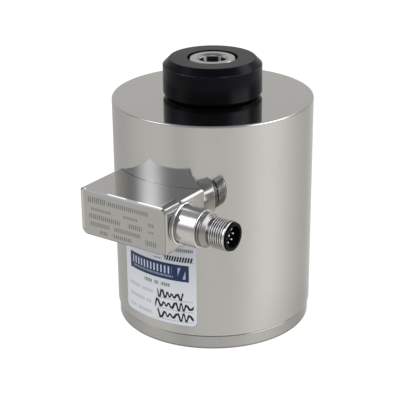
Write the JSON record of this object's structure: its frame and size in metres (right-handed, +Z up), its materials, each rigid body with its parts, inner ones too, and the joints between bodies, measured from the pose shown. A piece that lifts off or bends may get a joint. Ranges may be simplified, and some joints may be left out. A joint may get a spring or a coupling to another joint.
{
  "type": "force transducer",
  "caption": "Cylindrical force transducer: polished steel housing on a base plate, black load cap with a socket-head screw, side connector box and threaded round connector.",
  "frame": {"origin": "middle of the base plate's underside", "axes": "+Z up along the load axis, towards the load cap; the connector box stands out along -Y; the connector points along +X"},
  "size_m": [0.0857, 0.1039, 0.1135],
  "materials": {
    "polished_steel": "mirror polished",
    "machined_steel": "turned and milled",
    "black_cap": "glossy black",
    "nickel": "bright nickel plate",
    "screw_steel": "satin",
    "black_plastic": "moulded",
    "gold_contact": "gold plated",
    "seal_rubber": "matt",
    "board_laminate": "lacquered laminate",
    "gauge_foil": "satin film",
    "white_plastic": "moulded",
    "lead_sheath": "satin sheath",
    "label_film": "satin film"
  },
  "bodies": {
    "root": {"base_plate": "polished_steel", "base_seal": "seal_rubber", "board_post_1": "white_plastic", "board_post_2": "white_plastic", "board_post_3": "white_plastic", "board_post_4": "white_plastic", "boss_seal": "seal_rubber", "box_gasket": "seal_rubber", "box_screw_1": "screw_steel", "box_screw_2": "screw_steel", "box_screw_3": "screw_steel", "box_screw_4": "screw_steel", "cap_screw": "screw_steel", "connector_boss": "nickel", "connector_box": "polished_steel", "connector_shell": "nickel", "contact_insert": "black_plastic", "contact_pin_1": "gold_contact", "contact_pin_2": "gold_contact", "contact_pin_3": "gold_contact", "contact_pin_4": "gold_contact", "contact_pin_5": "gold_contact", "contact_pin_6": "gold_contact", "contact_pin_7": "gold_contact", "contact_pin_8": "gold_contact", "element_screw_1": "screw_steel", "element_screw_2": "screw_steel", "element_screw_3": "screw_steel", "element_screw_4": "screw_steel", "housing_sleeve": "polished_steel", "load_cap": "black_cap", "load_stem": "machined_steel", "seal_diaphragm": "machined_steel", "signal_leads": "lead_sheath", "sleeve_label": "label_film", "sleeve_screw_1": "screw_steel", "sleeve_screw_2": "screw_steel", "sleeve_screw_3": "screw_steel", "sleeve_screw_4": "screw_steel", "sleeve_screw_5": "screw_steel", "sleeve_screw_6": "screw_steel", "spacer_tube": "machined_steel", "spring_element": "machined_steel", "strain_gauge_1": "gauge_foil", "strain_gauge_2": "gauge_foil", "strain_gauge_3": "gauge_foil", "strain_gauge_4": "gauge_foil", "strain_gauge_5": "gauge_foil", "strain_gauge_6": "gauge_foil", "strain_gauge_7": "gauge_foil", "strain_gauge_8": "gauge_foil", "terminal_board": "board_laminate"}
  },
  "joints": []
}
